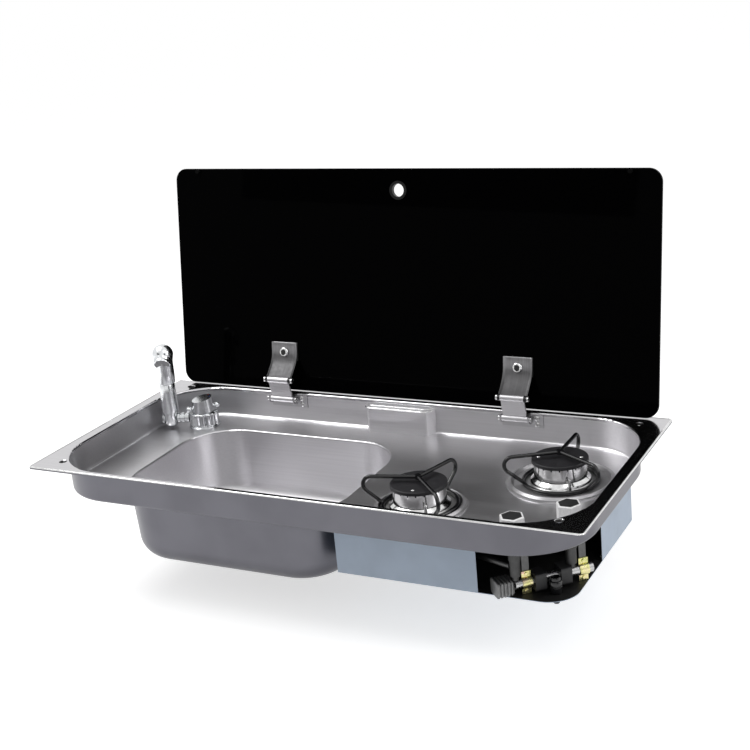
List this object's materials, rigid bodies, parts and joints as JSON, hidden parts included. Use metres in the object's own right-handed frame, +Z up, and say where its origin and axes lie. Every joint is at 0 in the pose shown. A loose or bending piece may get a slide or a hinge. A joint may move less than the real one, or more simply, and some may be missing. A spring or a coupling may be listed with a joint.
{
  "type": "rv sink and stove combo",
  "caption": "Drop-in steel pan for a camper worktop with a sink bowl, folding tap and gas hob under a hinged glass lid.",
  "frame": {"origin": "centre of the corner screw holes, level with the worktop under the rim", "axes": "+X to the right seen from the front, +Y to the back, +Z up"},
  "size_m": [0.775, 0.4059, 0.5203],
  "materials": {
    "brushed_steel": "brushed",
    "polished_steel": "polished",
    "chrome": "polished",
    "black_enamel": "satin",
    "black_glass": "gloss",
    "black_rubber": "matte",
    "black_plastic": "matte",
    "grey_plastic": "matte",
    "blue_grey_sheet": "satin",
    "zinc_steel": "bright",
    "yellow_zinc": "passivated zinc",
    "grey_casting": "cast",
    "aluminium": "satin",
    "brass": "satin",
    "satin_knob": "satin"
  },
  "bodies": {
    "unit": {"tray": "brushed_steel", "rim_seal": "black_rubber", "sink_bowl": "brushed_steel", "drain_strainer": "chrome", "drain_gasket": "black_rubber", "drain_nut": "grey_plastic", "drain_tailpiece": "grey_plastic", "burner_casing": "blue_grey_sheet", "base_plate": "blue_grey_sheet", "casing_screws": "zinc_steel", "hinge_bracket_left": "brushed_steel", "hinge_bracket_right": "brushed_steel", "pivot_pins": "zinc_steel", "bracket_screws": "zinc_steel", "mixer_body": "chrome", "swivel_neck": "chrome", "mixer_backnut": "brass", "inlet_tails": "brass", "supply_pipes": "aluminium", "cap_rivets": "zinc_steel", "flame_sensors": "zinc_steel", "gas_rail": "zinc_steel", "rail_straps": "yellow_zinc", "valve_housings": "black_plastic", "rail_hangers": "zinc_steel", "rail_end_casting": "grey_casting", "gas_inlet": "black_enamel", "front_burner_cup": "aluminium", "front_burner_head": "polished_steel", "front_burner_cap": "black_enamel", "front_drip_ring": "brushed_steel", "front_pan_support": "black_enamel", "front_gas_tap": "grey_casting", "rear_burner_cup": "aluminium", "rear_burner_head": "polished_steel", "rear_burner_cap": "black_enamel", "rear_drip_ring": "brushed_steel", "rear_pan_support": "black_enamel", "rear_gas_tap": "grey_casting"},
    "lid": {"lid_glass": "black_glass", "lid_grommet": "zinc_steel", "lid_buffers": "black_rubber", "hinge_arm_left": "brushed_steel", "hinge_arm_right": "brushed_steel", "hinge_leaf_left": "brushed_steel", "hinge_leaf_right": "brushed_steel", "knuckle_pins": "zinc_steel", "hinge_bolts": "zinc_steel", "hinge_pads": "black_rubber"},
    "spout": {"tap_spout": "chrome", "spout_nozzle": "grey_plastic"},
    "handle": {"mixer_handle": "chrome"},
    "front_push": {"front_push_sleeve": "brass"},
    "front_control": {"front_spindle": "brass", "front_knob": "satin_knob", "front_knob_insert": "black_plastic"},
    "rear_push": {"rear_push_sleeve": "brass"},
    "rear_control": {"rear_spindle": "brass", "rear_knob": "satin_knob", "rear_knob_insert": "black_plastic"}
  },
  "joints": [
    {"name": "lid_hinge", "type": "hinge", "parent": "unit", "child": "lid", "pos_m": [0, 0.156, -0.005], "axis": [1, 0, 0], "range_deg": [0, 98.5]},
    {"name": "spout_fold", "type": "hinge", "parent": "unit", "child": "spout", "pos_m": [-0.348, 0.092, -0.0254], "axis": [0.9135, 0.4067, 0], "range_deg": [0, 82.1]},
    {"name": "mixer_turn", "type": "hinge", "parent": "unit", "child": "handle", "pos_m": [-0.30324, 0.11193, -0.01], "axis": [0, 0, 1], "range_deg": [-45, 45]},
    {"name": "front_push", "type": "slide", "parent": "unit", "child": "front_push", "axis": [0, 0, -1], "range_m": [0, 0.003], "stiffness_N_per_m": 1500, "springref_m": -0.003},
    {"name": "front_turn", "type": "hinge", "parent": "front_push", "child": "front_control", "pos_m": [0.279, -0.12, -0.03], "axis": [0, 0, 1], "range_deg": [0, 180]},
    {"name": "rear_push", "type": "slide", "parent": "unit", "child": "rear_push", "axis": [0, 0, -1], "range_m": [0, 0.003], "stiffness_N_per_m": 1500, "springref_m": -0.003},
    {"name": "rear_turn", "type": "hinge", "parent": "rear_push", "child": "rear_control", "pos_m": [0.3305, -0.069, -0.03], "axis": [0, 0, 1], "range_deg": [0, 180]}
  ],
  "couplings": [
    {"joint": "spout_fold", "follows": "lid_hinge", "ratio": 0.83249}
  ]
}
